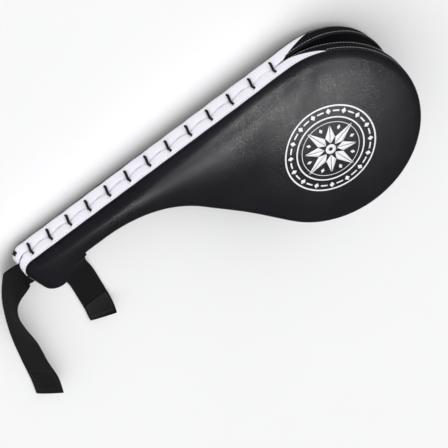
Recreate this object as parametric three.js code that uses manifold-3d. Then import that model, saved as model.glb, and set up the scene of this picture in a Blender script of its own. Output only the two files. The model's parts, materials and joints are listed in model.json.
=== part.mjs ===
// A double kick paddle: two mirror-image padded leaves laced together along one straight edge.
// Each leaf is a round blade on a grip. Beyond the lacing the blades stand apart, so that they
// clap when they are kicked. A two-tailed wrist strap is sewn in between the leaves at the butt.
// The paddle lies on its rear leaf, as on a table. Millimetres, +Z up.

import * as THREE from 'three';
import { mergeVertices } from 'three/addons/utils/BufferGeometryUtils.js';
import Module from 'manifold-3d';

const degrees = THREE.MathUtils.degToRad;

// Outline of a leaf, seen from above, with the blade's centre at the origin.
// +X runs along the laced edge towards the tip, and the laced edge is at +Y.
const BLADE_RADIUS = 91.5;
const BUTT_X = -306;
const BUTT_CORNER = 9;
const GRIP_WIDTH = 29;
const FLANK_ANGLE = degrees(50);
const THROAT_RADIUS = 122;
const CORNER_X = BUTT_X + BUTT_CORNER;
const KNOB_RADIUS = 15;
const KNOB_CENTRE = [-284, 61.5];
const KNOB_TURN = degrees(50);
const KNOB_NECK_X = -246;
const KNOB_NECK_PULL = [9, 18];

// Layers of a leaf, counted outwards from the plane where the two leaves meet.
const HALF_GAP = 1.15;
const SKIN = 1.4;
const INNER_PAD = 2.6;
const BOARD = 3.5;
const SEAM_HEIGHT = 14;
const CROWN = 11;
const CROWN_REACH = 27;
const FIT_GAP = 0.3;
const BOARD_INSET = 6;
const PAD_EASE = 0.8;
const FOLD_SLACK = 0.02;

// Flex line: where each blade bends away from the laced grip, from the last stitch across to
// the other edge. The blades stand open by SPLAY each, and can flex out a little more.
const FLEX_START = [0, BLADE_RADIUS];
const FLEX_END = [-100, -23];
const SPLAY = degrees(8);
const FLEX_OUT = degrees(3);

// Bands on the side walls. White on the laced edge and round the butt, black elsewhere.
const WHITE_END_Y = 79;
const WHITE_TAIL_LENGTH = 38;
const LACED_SIDE_DEPTH = 9.7;

// Lacing on the straight edge. The stitches spread out a little towards the blade.
const STITCH_COUNT = 13;
const FIRST_STITCH_X = -290;
const FIRST_STITCH_PITCH = 21.3;
const STITCH_SPREAD = 0.15;
const STITCH_REACH = 8.4;
const STITCH_SLANT = 2.1;
const LACE_RADIUS = 1.3;
const STITCH_BRIDGE = 0.6;
const KNOT_RADII = [2.4, 1.92, 2.88];
const KNOT_Z = -9;
const KNOT_TURN = degrees(35);

// Wrist strap of woven webbing. Its middle is sewn in between the leaves at the butt.
const WEBBING_WIDTH = 27;
const WEBBING = 1.6;
const ANCHOR_END_X = -250;
const ANCHOR_TOP_Y = 86;
const STRAP_MOUTH_Y = 48.3;
const LONG_STRAP_Y = 72;
const PATCH = 1.2;
const PATCH_WIDTH = 24;
const PATCH_SHARE = [0.8, 0.975];

// How the paddle lies: turned about X, then about Y, and lifted, so that the rear leaf rests on
// its butt and on two points of its blade's rim.
const LIE_X = degrees(-5.26);
const LIE_Y = degrees(-1.4);
const LIFT = 37.75;

// Run of each strap's tail over the table: the middle of the webbing, and how far the webbing is
// rolled over towards its outer edge. The blade's centre is above X = 0, Y = 0.
const LONG_TAIL = [
  { at: [-306.6, 71, 23.7], roll: 5.3 },
  { at: [-312.3, 71.2, 23.2], roll: 20 },
  { at: [-317.9, 66.7, 21], roll: 54 },
  { at: [-324, 58.5, 17.8], roll: 77 },
  { at: [-330.3, 47, 15.2], roll: 86 },
  { at: [-335.1, 32.3, 14], roll: 84 },
  { at: [-338, 11.6, 13.2], roll: 72 },
  { at: [-339.9, -16.2, 11.6], roll: 55 },
  { at: [-342.2, -46, 10.6], roll: 48 },
  { at: [-343.7, -76.1, 9.6], roll: 39 },
  { at: [-347.2, -96.9, 9.6], roll: 41 },
];
const SHORT_TAIL = [
  { at: [-263, 46.4, 26.95], roll: 0 },
  { at: [-263, 45.2, 27], roll: 0 },
  { at: [-263, 42.2, 25], roll: 0 },
  { at: [-263, 36.5, 18.5], roll: 0 },
  { at: [-263, 25, 9.6], roll: 0 },
  { at: [-263, 12, 3.4], roll: 0 },
  { at: [-261.3, -6, 1.2], roll: 0 },
  { at: [-261.6, -33.1, 1.5], roll: 0 },
  { at: [-262.1, -47.2, 3], roll: 8 },
  { at: [-264.7, -59, 8.7], roll: 35 },
];

// Fineness of the surfaces.
const OUTLINE_STEPS = 560;
const EDGE_TOLERANCE = 0.12;
const RIM_STEPS = 5;
const BUTT_ZONE = 60;
const BUTT_STEPS = 15;
const GRIP_STEPS = 12;
const BLADE_START_X = -66;
const BLADE_STEPS = 17;
const LACE_SIDES = 4;
const STITCH_STEPS = 6;
const KNOT_STEPS = [12, 8];
const STRAP_STEPS = 40;
const PATCH_STEPS = 7;

// A cutting tool reaches this far past what it cuts: BEYOND past the whole paddle, and OVERCUT
// past a face that it has to clear.
const BEYOND = 400;
const OVERCUT = 1;

const COLOURS = {
  leather: { color: 0x17171a, roughness: 0.42, metalness: 0 },
  white: { color: 0xdcdbe2, roughness: 0.45, metalness: 0 },
  foam: { color: 0x8f9094, roughness: 0.95, metalness: 0 },
  board: { color: 0x3d3f42, roughness: 0.6, metalness: 0 },
  lace: { color: 0x0d0d0f, roughness: 0.6, metalness: 0 },
  webbing: { color: 0x131315, roughness: 0.85, metalness: 0 },
  patch: { color: 0x0f0f11, roughness: 0.95, metalness: 0 },
};

const wasm = await Module();
wasm.setup();

const paddle = new THREE.Group();
const frontBlade = new THREE.Group();
const rearBlade = new THREE.Group();
const table = new THREE.Group();

function addPart(group, name, geometry, finish) {
  const mesh = new THREE.Mesh(geometry, new THREE.MeshStandardMaterial(COLOURS[finish]));
  mesh.name = name;
  group.add(mesh);
  return mesh;
}

// ---------- solids ----------

function toSolid(geometry) {
  const bare = geometry.clone();
  bare.deleteAttribute('normal');
  bare.deleteAttribute('uv');
  const merged = mergeVertices(bare, 1e-4);
  return new wasm.Manifold(new wasm.Mesh({
    numProp: 3,
    vertProperties: new Float32Array(merged.attributes.position.array),
    triVerts: new Uint32Array(merged.index.array),
  }));
}

function toGeometry(solid) {
  const mesh = solid.getMesh();
  const geometry = new THREE.BufferGeometry();
  geometry.setAttribute('position', new THREE.BufferAttribute(new Float32Array(mesh.vertProperties), 3));
  geometry.setIndex(new THREE.BufferAttribute(new Uint32Array(mesh.triVerts), 1));
  geometry.computeVertexNormals();
  return geometry;
}

// The same solid seen in a mirror at Z = 0, with its faces turned to point out again.
function mirrored(geometry) {
  const copy = geometry.clone();
  const position = copy.attributes.position;
  for (let i = 0; i < position.count; i += 1) {
    position.setZ(i, -position.getZ(i));
  }
  const index = copy.index.array;
  for (let i = 0; i < index.length; i += 3) {
    const first = index[i];
    index[i] = index[i + 1];
    index[i + 1] = first;
  }
  copy.computeVertexNormals();
  return copy;
}

// ---------- outline ----------

function leafOutline() {
  const turn = Math.PI / 2 - FLANK_ANGLE;
  const gripY = BLADE_RADIUS - GRIP_WIDTH;
  const flankX = -BLADE_RADIUS * Math.cos(turn);
  const flankY = -BLADE_RADIUS * Math.sin(turn);
  const cornerX = flankX - (gripY - flankY) / Math.tan(FLANK_ANGLE);
  const throatX = cornerX - THROAT_RADIUS * Math.tan(FLANK_ANGLE / 2);
  const [knobX, knobY] = KNOB_CENTRE;
  const cornerY = BLADE_RADIUS - BUTT_CORNER;
  const span = Math.hypot(knobX - CORNER_X, knobY - cornerY);
  const lean = Math.asin((KNOB_RADIUS - BUTT_CORNER) / span);
  const buttTurn = Math.atan2(knobY - cornerY, knobX - CORNER_X) + (3 / 2) * Math.PI - lean;
  const neckX = knobX + KNOB_RADIUS * Math.cos(KNOB_TURN);
  const neckY = knobY - KNOB_RADIUS * Math.sin(KNOB_TURN);

  const outline = new THREE.Path();
  outline.moveTo(0, BLADE_RADIUS);
  outline.lineTo(CORNER_X, BLADE_RADIUS);
  outline.absarc(CORNER_X, cornerY, BUTT_CORNER, Math.PI / 2, buttTurn);
  outline.absarc(knobX, knobY, KNOB_RADIUS, buttTurn, 2 * Math.PI - KNOB_TURN);
  outline.bezierCurveTo(
    neckX + KNOB_NECK_PULL[0] * Math.sin(KNOB_TURN),
    neckY + KNOB_NECK_PULL[0] * Math.cos(KNOB_TURN),
    KNOB_NECK_X - KNOB_NECK_PULL[1],
    gripY,
    KNOB_NECK_X,
    gripY,
  );
  outline.lineTo(throatX, gripY);
  outline.absarc(throatX, gripY - THROAT_RADIUS, THROAT_RADIUS, Math.PI / 2, turn, true);
  outline.lineTo(flankX, flankY);
  outline.absarc(0, 0, BLADE_RADIUS, Math.PI + turn, 2.5 * Math.PI);
  return outline;
}

const OUTLINE = leafOutline();
const FINE_OUTLINE = OUTLINE.getSpacedPoints(OUTLINE_STEPS).slice(0, OUTLINE_STEPS);

function edgeDistance(points, x, y) {
  let nearest = Infinity;
  for (const point of points) {
    nearest = Math.min(nearest, Math.hypot(point.x - x, point.y - y));
  }
  return nearest;
}

// The outline moved inwards by a margin, as a closed list of points running anticlockwise.
// A corner tighter than the margin folds over when it moves, so points that end too close go.
function insetOutline(points, margin) {
  const moved = points.map((point, i) => {
    const before = points[(i + points.length - 1) % points.length];
    const after = points[(i + 1) % points.length];
    const along = after.clone().sub(before).normalize();
    return new THREE.Vector2(point.x - along.y * margin, point.y + along.x * margin);
  });
  return moved.filter((point) => edgeDistance(points, point.x, point.y) > margin - FOLD_SLACK);
}

// Every point that a flat layer's edge needs: all of the curved stretches, but few of the straight.
function thinned(points, tolerance) {
  const kept = [points[0]];
  let anchor = points[0];
  for (let i = 1; i < points.length - 1; i += 1) {
    const far = points[i + 1];
    const chord = far.clone().sub(anchor);
    const middle = points[i].clone().sub(anchor);
    const bulge = Math.abs(chord.cross(middle)) / chord.length();
    if (bulge > tolerance) {
      kept.push(points[i]);
      anchor = points[i];
    }
  }
  kept.push(points[points.length - 1]);
  return kept;
}

// Where a line across the leaf at x meets its two edges.
function edgesAt(points, x) {
  let low = Infinity;
  let high = -Infinity;
  for (let i = 0; i < points.length; i += 1) {
    const a = points[i];
    const b = points[(i + 1) % points.length];
    if ((a.x - x) * (b.x - x) <= 0 && a.x !== b.x) {
      const y = a.y + ((b.y - a.y) * (x - a.x)) / (b.x - a.x);
      low = Math.min(low, y);
      high = Math.max(high, y);
    }
  }
  return [low, high];
}

// ---------- layers of a leaf ----------

// A flat layer between two heights, with the outline moved in by a margin.
function flatLayer(margin, bottom, top) {
  const edge = thinned(insetOutline(FINE_OUTLINE, margin), EDGE_TOLERANCE);
  const geometry = new THREE.ExtrudeGeometry(new THREE.Shape(edge), {
    depth: top - bottom,
    bevelEnabled: false,
  });
  geometry.translate(0, 0, bottom);
  return toSolid(geometry);
}

// Lines across the leaf where a crowned layer's surface is worked out, close together at both ends.
function stationsAlong(points) {
  const xs = points.map((point) => point.x);
  const start = Math.min(...xs) + FOLD_SLACK;
  const end = Math.max(...xs) - FOLD_SLACK;
  const stations = [];
  for (let i = 0; i < BUTT_STEPS; i += 1) {
    stations.push(start + BUTT_ZONE * (1 - Math.cos((Math.PI / 2) * (i / BUTT_STEPS))));
  }
  const gripStart = start + BUTT_ZONE;
  for (let i = 0; i < GRIP_STEPS; i += 1) {
    stations.push(THREE.MathUtils.lerp(gripStart, BLADE_START_X, i / GRIP_STEPS));
  }
  const firstAngle = Math.acos(BLADE_START_X / end);
  for (let i = 0; i <= BLADE_STEPS; i += 1) {
    stations.push(end * Math.cos(firstAngle * (1 - i / BLADE_STEPS)));
  }
  return stations;
}

// A layer with a flat underside, upright walls and a crowned top that rises quickly from its edge.
function crownedLayer(margin, bottom, wallTop, crown) {
  const edge = insetOutline(FINE_OUTLINE, margin);
  const reach = CROWN_REACH - margin;
  const rows = stationsAlong(edge).map((x) => {
    const [low, high] = edgesAt(edge, x);
    const span = Math.min(reach, (high - low) / 2 - FOLD_SLACK);
    const across = [];
    for (let j = 0; j <= RIM_STEPS; j += 1) {
      across.push(low + span * (1 - Math.cos((Math.PI / 2) * (j / RIM_STEPS))));
    }
    for (let j = RIM_STEPS; j >= 0; j -= 1) {
      across.push(high - span * (1 - Math.cos((Math.PI / 2) * (j / RIM_STEPS))));
    }
    return across.map((y, j) => {
      const onEdge = j === 0 || j === across.length - 1;
      const depth = onEdge ? 0 : Math.min(edgeDistance(edge, x, y), reach);
      const rise = crown * Math.sqrt(1 - (1 - depth / reach) ** 2);
      return [x, y, wallTop + rise];
    });
  });

  const width = rows[0].length;
  const positions = rows.flat(2);
  const underside = rows.length * width;
  for (const row of rows) {
    positions.push(row[0][0], row[0][1], bottom, row[width - 1][0], row[width - 1][1], bottom);
  }
  const faces = [];
  const quad = (a, b, c, d) => faces.push(a, b, c, a, c, d);
  for (let i = 0; i < rows.length - 1; i += 1) {
    const here = i * width;
    const next = here + width;
    const base = underside + 2 * i;
    for (let j = 0; j < width - 1; j += 1) {
      quad(here + j, next + j, next + j + 1, here + j + 1);
    }
    quad(base, base + 1, base + 3, base + 2);
    quad(base, base + 2, next, here);
    quad(base + 3, base + 1, here + width - 1, next + width - 1);
  }
  const lastRow = (rows.length - 1) * width;
  const lastBase = underside + 2 * (rows.length - 1);
  for (let j = 0; j < width - 1; j += 1) {
    faces.push(underside, j, j + 1);
    faces.push(lastBase, lastRow + j + 1, lastRow + j);
  }
  faces.push(underside, width - 1, underside + 1);
  faces.push(lastBase, lastBase + 1, lastRow + width - 1);

  const geometry = new THREE.BufferGeometry();
  geometry.setAttribute('position', new THREE.BufferAttribute(new Float32Array(positions), 3));
  geometry.setIndex(faces);
  return toSolid(geometry);
}

function coverShell() {
  const outside = crownedLayer(0, SEAM_HEIGHT + FIT_GAP, SEAM_HEIGHT + FIT_GAP, CROWN - FIT_GAP);
  const inside = crownedLayer(SKIN, SEAM_HEIGHT - OVERCUT, SEAM_HEIGHT, CROWN - SKIN);
  return outside.subtract(inside);
}

function sideWall() {
  const inside = flatLayer(SKIN, HALF_GAP - OVERCUT, SEAM_HEIGHT + OVERCUT);
  return flatLayer(0, HALF_GAP, SEAM_HEIGHT).subtract(inside);
}

// ---------- cutting tools ----------

const FLEX_AXIS = new THREE.Vector3(
  FLEX_START[0] - FLEX_END[0],
  FLEX_START[1] - FLEX_END[1],
  0,
).normalize();

// Everything on one side of the flex line. The cut leans away from it with height, so that the
// blade has room to stand open and to flex out.
function flexSide(towardsBlade) {
  const size = 2 * BEYOND;
  const box = new THREE.BoxGeometry(size, size, size);
  const side = towardsBlade ? 1 : -1;
  const lean = (SPLAY + FLEX_OUT) / 2;
  box.translate((side * (size + FIT_GAP)) / 2, 0, 0);
  box.rotateY(side * lean);
  box.rotateZ(Math.atan2(FLEX_AXIS.y, FLEX_AXIS.x) - Math.PI / 2);
  box.translate(FLEX_START[0], FLEX_START[1], 0);
  return toSolid(box);
}

function boxBetween(low, high) {
  const box = new THREE.BoxGeometry(high[0] - low[0], high[1] - low[1], high[2] - low[2]);
  box.translate((low[0] + high[0]) / 2, (low[1] + high[1]) / 2, (low[2] + high[2]) / 2);
  return toSolid(box);
}

// Everything in a range of X, from a Y upwards.
function boxFrom(startX, endX, startY) {
  return boxBetween([startX, startY, -BEYOND], [endX, BEYOND, BEYOND]);
}

// The part of the blade's side wall that stays white: a wedge that runs out at the outer seam.
function whiteWedge(clearance) {
  const slope = SEAM_HEIGHT / WHITE_TAIL_LENGTH;
  const top = slope * BLADE_RADIUS + SEAM_HEIGHT;
  const wedge = new THREE.Shape();
  wedge.moveTo(-THROAT_RADIUS, -SEAM_HEIGHT);
  wedge.lineTo(-THROAT_RADIUS, top);
  wedge.lineTo(BLADE_RADIUS, top);
  wedge.lineTo(BLADE_RADIUS, slope * BLADE_RADIUS - clearance);
  wedge.lineTo(0, -clearance);
  wedge.lineTo(0, -SEAM_HEIGHT);
  wedge.closePath();
  const geometry = new THREE.ExtrudeGeometry(wedge, { depth: BLADE_RADIUS, bevelEnabled: false });
  geometry.rotateX(Math.PI / 2);
  geometry.translate(0, BLADE_RADIUS + OVERCUT, 0);
  return toSolid(geometry);
}

// ---------- the two leaves ----------

function addLeaf(name, blade, finishSide) {
  const bladeSide = flexSide(true);
  const gripSide = flexSide(false);
  const innerPadBottom = HALF_GAP + SKIN + FIT_GAP;
  const boardBottom = innerPadBottom + INNER_PAD + FIT_GAP;
  const padBottom = boardBottom + BOARD + FIT_GAP;
  const lining = SKIN + FIT_GAP;
  const padInset = SKIN + PAD_EASE;

  const layers = {
    cover: [coverShell(), 'leather'],
    pad: [crownedLayer(padInset, padBottom, SEAM_HEIGHT, CROWN - padInset), 'foam'],
    board: [flatLayer(BOARD_INSET, boardBottom, boardBottom + BOARD), 'board'],
    inner_pad: [flatLayer(lining, innerPadBottom, innerPadBottom + INNER_PAD), 'foam'],
    inner_cover: [flatLayer(lining, HALF_GAP, HALF_GAP + SKIN), 'leather'],
  };
  for (const [layer, [solid, finish]] of Object.entries(layers)) {
    addPart(blade, `${name}_blade_${layer}`, finishSide(toGeometry(solid.intersect(bladeSide))), finish);
    if (layer !== 'pad') {
      addPart(paddle, `${name}_grip_${layer}`, finishSide(toGeometry(solid.intersect(gripSide))), finish);
    }
  }

  // The grip's padding: a long pad, and the stuffing that makes the knob at the butt.
  const gripPad = layers.pad[0].intersect(gripSide);
  const knobEnd = KNOB_NECK_X - KNOB_RADIUS;
  const knobBox = boxFrom(-BEYOND, knobEnd, -BEYOND);
  const gripBox = boxFrom(knobEnd + FIT_GAP, BEYOND, -BEYOND);
  addPart(paddle, `${name}_knob_pad`, finishSide(toGeometry(gripPad.intersect(knobBox))), 'foam');
  addPart(paddle, `${name}_grip_pad`, finishSide(toGeometry(gripPad.intersect(gripBox))), 'foam');

  // Side wall of the blade: black all round, with the white wedge beside the last stitch.
  const wall = sideWall();
  const bladeWall = wall.intersect(bladeSide);
  const wedge = whiteWedge(0);
  const wedgeRoom = whiteWedge(FIT_GAP);
  addPart(blade, `${name}_blade_white_tail`, finishSide(toGeometry(bladeWall.intersect(wedge))), 'white');
  addPart(blade, `${name}_blade_side_band`, finishSide(toGeometry(bladeWall.subtract(wedgeRoom))), 'leather');

  // Side wall of the grip: white on the laced edge and round the butt, black on the other edge.
  const gripWall = wall.intersect(gripSide);
  const lacedY = BLADE_RADIUS - LACED_SIDE_DEPTH;
  const buttEndX = BUTT_X + 2 * SKIN;
  const whiteSide = boxFrom(-BEYOND, BEYOND, lacedY).add(boxFrom(-BEYOND, buttEndX, WHITE_END_Y));
  const blackRoom = boxFrom(-BEYOND, BEYOND, lacedY - FIT_GAP)
    .add(boxFrom(-BEYOND, buttEndX + FIT_GAP, WHITE_END_Y - FIT_GAP));
  addPart(paddle, `${name}_grip_white_band`, finishSide(toGeometry(gripWall.intersect(whiteSide))), 'white');
  addPart(paddle, `${name}_grip_side_band`, finishSide(toGeometry(gripWall.subtract(blackRoom))), 'leather');
}

// ---------- lacing ----------

function stitchX(i) {
  return FIRST_STITCH_X + FIRST_STITCH_PITCH * i + STITCH_SPREAD * i * i;
}

class StitchCurve extends THREE.Curve {
  constructor(x) {
    super();
    this.x = x;
  }

  getPoint(t, target = new THREE.Vector3()) {
    const swing = 2 * t - 1;
    const lift = Math.cos((Math.PI / 2) * swing);
    return target.set(
      this.x - STITCH_SLANT * swing,
      BLADE_RADIUS + FIT_GAP + LACE_RADIUS + STITCH_BRIDGE * lift,
      STITCH_REACH * swing,
    );
  }
}

function addLacing() {
  const section = new THREE.Shape();
  section.absarc(0, 0, LACE_RADIUS, 0, 2 * Math.PI);
  for (let i = 0; i < STITCH_COUNT; i += 1) {
    const geometry = new THREE.ExtrudeGeometry(section, {
      extrudePath: new StitchCurve(stitchX(i)),
      steps: STITCH_STEPS,
      curveSegments: LACE_SIDES,
      bevelEnabled: false,
    });
    const number = String(i + 1).padStart(2, '0');
    addPart(paddle, `lace_stitch_${number}`, geometry, 'lace');
  }
  const knot = new THREE.SphereGeometry(1, ...KNOT_STEPS);
  knot.scale(...KNOT_RADII);
  knot.translate(0, BUTT_CORNER + FIT_GAP + KNOT_RADII[1], KNOT_Z);
  knot.rotateZ(KNOT_TURN);
  knot.translate(CORNER_X, BLADE_RADIUS - BUTT_CORNER, 0);
  addPart(paddle, 'lace_end_knot', knot, 'lace');
}

// ---------- wrist strap ----------

// A flat band swept through stations. Each station is the band's middle and its roll in degrees.
// The band may be raised along its own upright by a lift, and may cover part of the run only.
// Both broad faces are split along the same diagonals, so that a patch fits a twisted strap.
function ribbon(stations, { width, thickness, steps, lift = 0, from = 0, to = 1 }) {
  const path = new THREE.CatmullRomCurve3(stations.map((station) => new THREE.Vector3(...station.at)));
  const up = new THREE.Vector3(0, 0, 1);
  const positions = [];
  for (let i = 0; i <= steps; i += 1) {
    const t = THREE.MathUtils.lerp(from, to, i / steps);
    const middle = path.getPoint(t);
    const along = path.getTangent(t);
    const place = t * (stations.length - 1);
    const before = Math.min(Math.floor(place), stations.length - 2);
    const roll = degrees(
      THREE.MathUtils.lerp(stations[before].roll, stations[before + 1].roll, place - before),
    );
    const outwards = new THREE.Vector3().crossVectors(along, up).normalize();
    outwards.applyAxisAngle(along, roll);
    const upright = new THREE.Vector3().crossVectors(outwards, along).normalize();
    middle.addScaledVector(upright, lift);
    const corners = [[-1, -1], [1, -1], [1, 1], [-1, 1]];
    for (const [side, face] of corners) {
      const corner = middle.clone();
      corner.addScaledVector(outwards, (side * width) / 2);
      corner.addScaledVector(upright, (face * thickness) / 2);
      positions.push(corner.x, corner.y, corner.z);
    }
  }
  const faces = [];
  for (let i = 0; i < steps; i += 1) {
    for (let j = 0; j < 4; j += 1) {
      const a = 4 * i + j;
      const b = 4 * i + ((j + 1) % 4);
      const diagonal = j === 2 ? [a, a + 4, b, b, a + 4, b + 4] : [a, b + 4, b, a, a + 4, b + 4];
      faces.push(...diagonal);
    }
  }
  const last = 4 * steps;
  faces.push(0, 1, 2, 0, 2, 3);
  faces.push(last, last + 2, last + 1, last, last + 3, last + 2);
  const geometry = new THREE.BufferGeometry();
  geometry.setAttribute('position', new THREE.BufferAttribute(new Float32Array(positions), 3));
  geometry.setIndex(faces);
  geometry.computeVertexNormals();
  return geometry;
}

function addStrap() {
  const anchor = new THREE.Shape();
  anchor.moveTo(BUTT_X, LONG_STRAP_Y - WEBBING_WIDTH / 2);
  anchor.lineTo(ANCHOR_END_X - WEBBING_WIDTH, LONG_STRAP_Y - WEBBING_WIDTH / 2);
  anchor.lineTo(ANCHOR_END_X - WEBBING_WIDTH, STRAP_MOUTH_Y);
  anchor.lineTo(ANCHOR_END_X, STRAP_MOUTH_Y);
  anchor.lineTo(ANCHOR_END_X, ANCHOR_TOP_Y);
  anchor.lineTo(BUTT_X, ANCHOR_TOP_Y);
  anchor.closePath();
  const geometry = new THREE.ExtrudeGeometry(anchor, { depth: WEBBING, bevelEnabled: false });
  geometry.translate(0, 0, -WEBBING / 2);
  addPart(paddle, 'strap_anchor', geometry, 'webbing');

  const webbing = { width: WEBBING_WIDTH, thickness: WEBBING, steps: STRAP_STEPS };
  const patchLift = (WEBBING + PATCH) / 2 + FIT_GAP;
  const [from, to] = PATCH_SHARE;
  const patch = { width: PATCH_WIDTH, thickness: PATCH, from, to, steps: PATCH_STEPS };
  const straps = {
    long_strap: ribbon(LONG_TAIL, webbing),
    short_strap: ribbon(SHORT_TAIL, webbing),
  };
  const patches = {
    hook_patch: ribbon(LONG_TAIL, { ...patch, lift: -patchLift }),
    loop_patch: ribbon(SHORT_TAIL, { ...patch, lift: patchLift }),
  };
  Object.entries(straps).forEach(([name, strap]) => addPart(table, name, strap, 'webbing'));
  Object.entries(patches).forEach(([name, tape]) => addPart(table, name, tape, 'patch'));
}

addLeaf('front', frontBlade, (geometry) => geometry);
addLeaf('rear', rearBlade, mirrored);
addLacing();
addStrap();

function openBlade(blade, angle) {
  const turn = new THREE.Matrix4().makeTranslation(FLEX_START[0], FLEX_START[1], 0);
  turn.multiply(new THREE.Matrix4().makeRotationAxis(FLEX_AXIS, angle));
  turn.multiply(new THREE.Matrix4().makeTranslation(-FLEX_START[0], -FLEX_START[1], 0));
  turn.decompose(blade.position, blade.quaternion, blade.scale);
  paddle.add(blade);
}

openBlade(frontBlade, -SPLAY);
openBlade(rearBlade, SPLAY);

paddle.rotation.set(LIE_X, LIE_Y, 0);
paddle.position.z = LIFT;
table.add(paddle);

// The origin is under the middle of everything, on the table.
const bounds = new THREE.Box3().setFromObject(table, true);
const middle = bounds.getCenter(new THREE.Vector3());
table.position.set(-middle.x, -middle.y, -bounds.min.z);

export default table;
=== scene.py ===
"""A double kick paddle, dressed over its CAD frame: two padded leather leaves that are laced
together along one edge, and a webbing wrist strap. Everything is in metres, +Z up, in the frame
of the CAD part. Each leaf is worked out in its own flat coordinates: x runs along the laced edge
from the butt to the tip, y towards the laced edge, and z is the height above the plane where the
two leaves meet. It is then bent open at the throat and laid down as the CAD paddle lies."""

import json
import math

import bpy
import numpy as np
from mathutils import Euler, Matrix, Vector, noise
from mathutils.bvhtree import BVHTree
from mathutils.geometry import delaunay_2d_cdt


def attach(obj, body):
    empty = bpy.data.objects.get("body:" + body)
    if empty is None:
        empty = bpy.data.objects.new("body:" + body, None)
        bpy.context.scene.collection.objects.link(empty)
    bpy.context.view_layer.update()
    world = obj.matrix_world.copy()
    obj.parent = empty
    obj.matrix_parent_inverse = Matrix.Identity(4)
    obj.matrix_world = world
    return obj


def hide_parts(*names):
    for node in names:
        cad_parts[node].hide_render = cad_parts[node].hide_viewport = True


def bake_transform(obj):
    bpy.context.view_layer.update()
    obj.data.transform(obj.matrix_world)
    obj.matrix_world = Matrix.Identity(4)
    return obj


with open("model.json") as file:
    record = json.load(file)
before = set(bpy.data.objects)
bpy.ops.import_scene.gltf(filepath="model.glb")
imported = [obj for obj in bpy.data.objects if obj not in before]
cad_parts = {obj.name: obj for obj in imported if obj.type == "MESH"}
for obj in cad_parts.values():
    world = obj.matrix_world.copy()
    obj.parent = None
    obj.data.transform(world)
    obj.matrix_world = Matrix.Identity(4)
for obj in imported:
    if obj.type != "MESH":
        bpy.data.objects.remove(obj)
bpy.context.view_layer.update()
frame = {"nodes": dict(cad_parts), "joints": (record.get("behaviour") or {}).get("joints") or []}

# ---- driving dimensions

# Outline of a leaf, as in the CAD model. The blade's centre is at the origin.
BLADE_RADIUS = 0.0915
BUTT_X = -0.306
BUTT_CORNER = 0.009
GRIP_WIDTH = 0.029
FLANK_ANGLE = math.radians(50)
THROAT_RADIUS = 0.122
KNOB_RADIUS = 0.015
KNOB_CENTRE = (-0.284, 0.0615)
KNOB_TURN = math.radians(50)
KNOB_NECK_X = -0.246
KNOB_NECK_PULL = (0.009, 0.018)

# Section of a leaf.
HALF_GAP = 0.00115
SEAM_HEIGHT = 0.014
CROWN = 0.0125
CROWN_REACH = 0.027
EDGE_RISE = 0.0045
EDGE_REACH = 0.011
DOME_REACH = 0.088
SKIN = 0.0012

# The bend at the throat, and how the paddle lies on the floor.
FLEX_START = np.array([0.0, BLADE_RADIUS])
FLEX_END = np.array([-0.100, -0.023])
FLEX_SPREAD = 0.048
SPLAY = math.radians(8)
LIE_X = math.radians(-5.26)
LIE_Y = math.radians(-1.4)

# Lacing.
STITCH_COUNT = 13
FIRST_STITCH_X = -0.290
FIRST_STITCH_PITCH = 0.0213
STITCH_SPREAD = 0.00015
STITCH_REACH = 0.0084
STITCH_SLANT = 0.0021
LACE_RADIUS = 0.0013
KNOT_Z = -0.009
KNOT_TURN = math.radians(35)

# White side band: from part way down the butt, along the lacing, to a point on the blade.
WHITE_END_Y = 0.079
WHITE_TAIL_LENGTH = 0.038

# Webbing.
WEBBING_WIDTH = 0.027
WEBBING = 0.0016
PATCH_WIDTH = 0.024
PATCH = 0.0012

# Round print on the blade.
PRINT_CENTRE = (-0.0060, -0.0022)
PRINT_RADIUS = 0.0463


# ---- small helpers

def smooth_step(t):
    t = np.clip(t, 0, 1)
    return t * t * (3 - 2 * t)


def hump(x, centre, width):
    return np.exp(-(((x - centre) / width) ** 2))


def unit(vectors):
    return vectors / np.linalg.norm(vectors, axis=-1, keepdims=True)


def raised(flat, height):
    """Flat points at a height, which is one number or one for each point."""
    return np.column_stack([flat, np.broadcast_to(height, len(flat))])


def run_lengths(points):
    """How far along a run each of its points is."""
    return np.concatenate([[0], np.cumsum(np.linalg.norm(np.diff(points, axis=0), axis=1))])


def arc(centre, radius, start, end):
    """Points along an arc, with its angles in radians."""
    steps = max(4, int(abs(end - start) * radius / 0.0005))
    angle = np.linspace(start, end, steps + 1)
    return np.column_stack([centre[0] + radius * np.cos(angle), centre[1] + radius * np.sin(angle)])


def bezier(a, b, c, d):
    t = np.linspace(0, 1, 41)[:, None]
    a, b, c, d = (np.array(p) for p in (a, b, c, d))
    return a * (1 - t) ** 3 + 3 * b * t * (1 - t) ** 2 + 3 * c * t * t * (1 - t) + d * t ** 3


# ---- outline of a leaf

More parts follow.
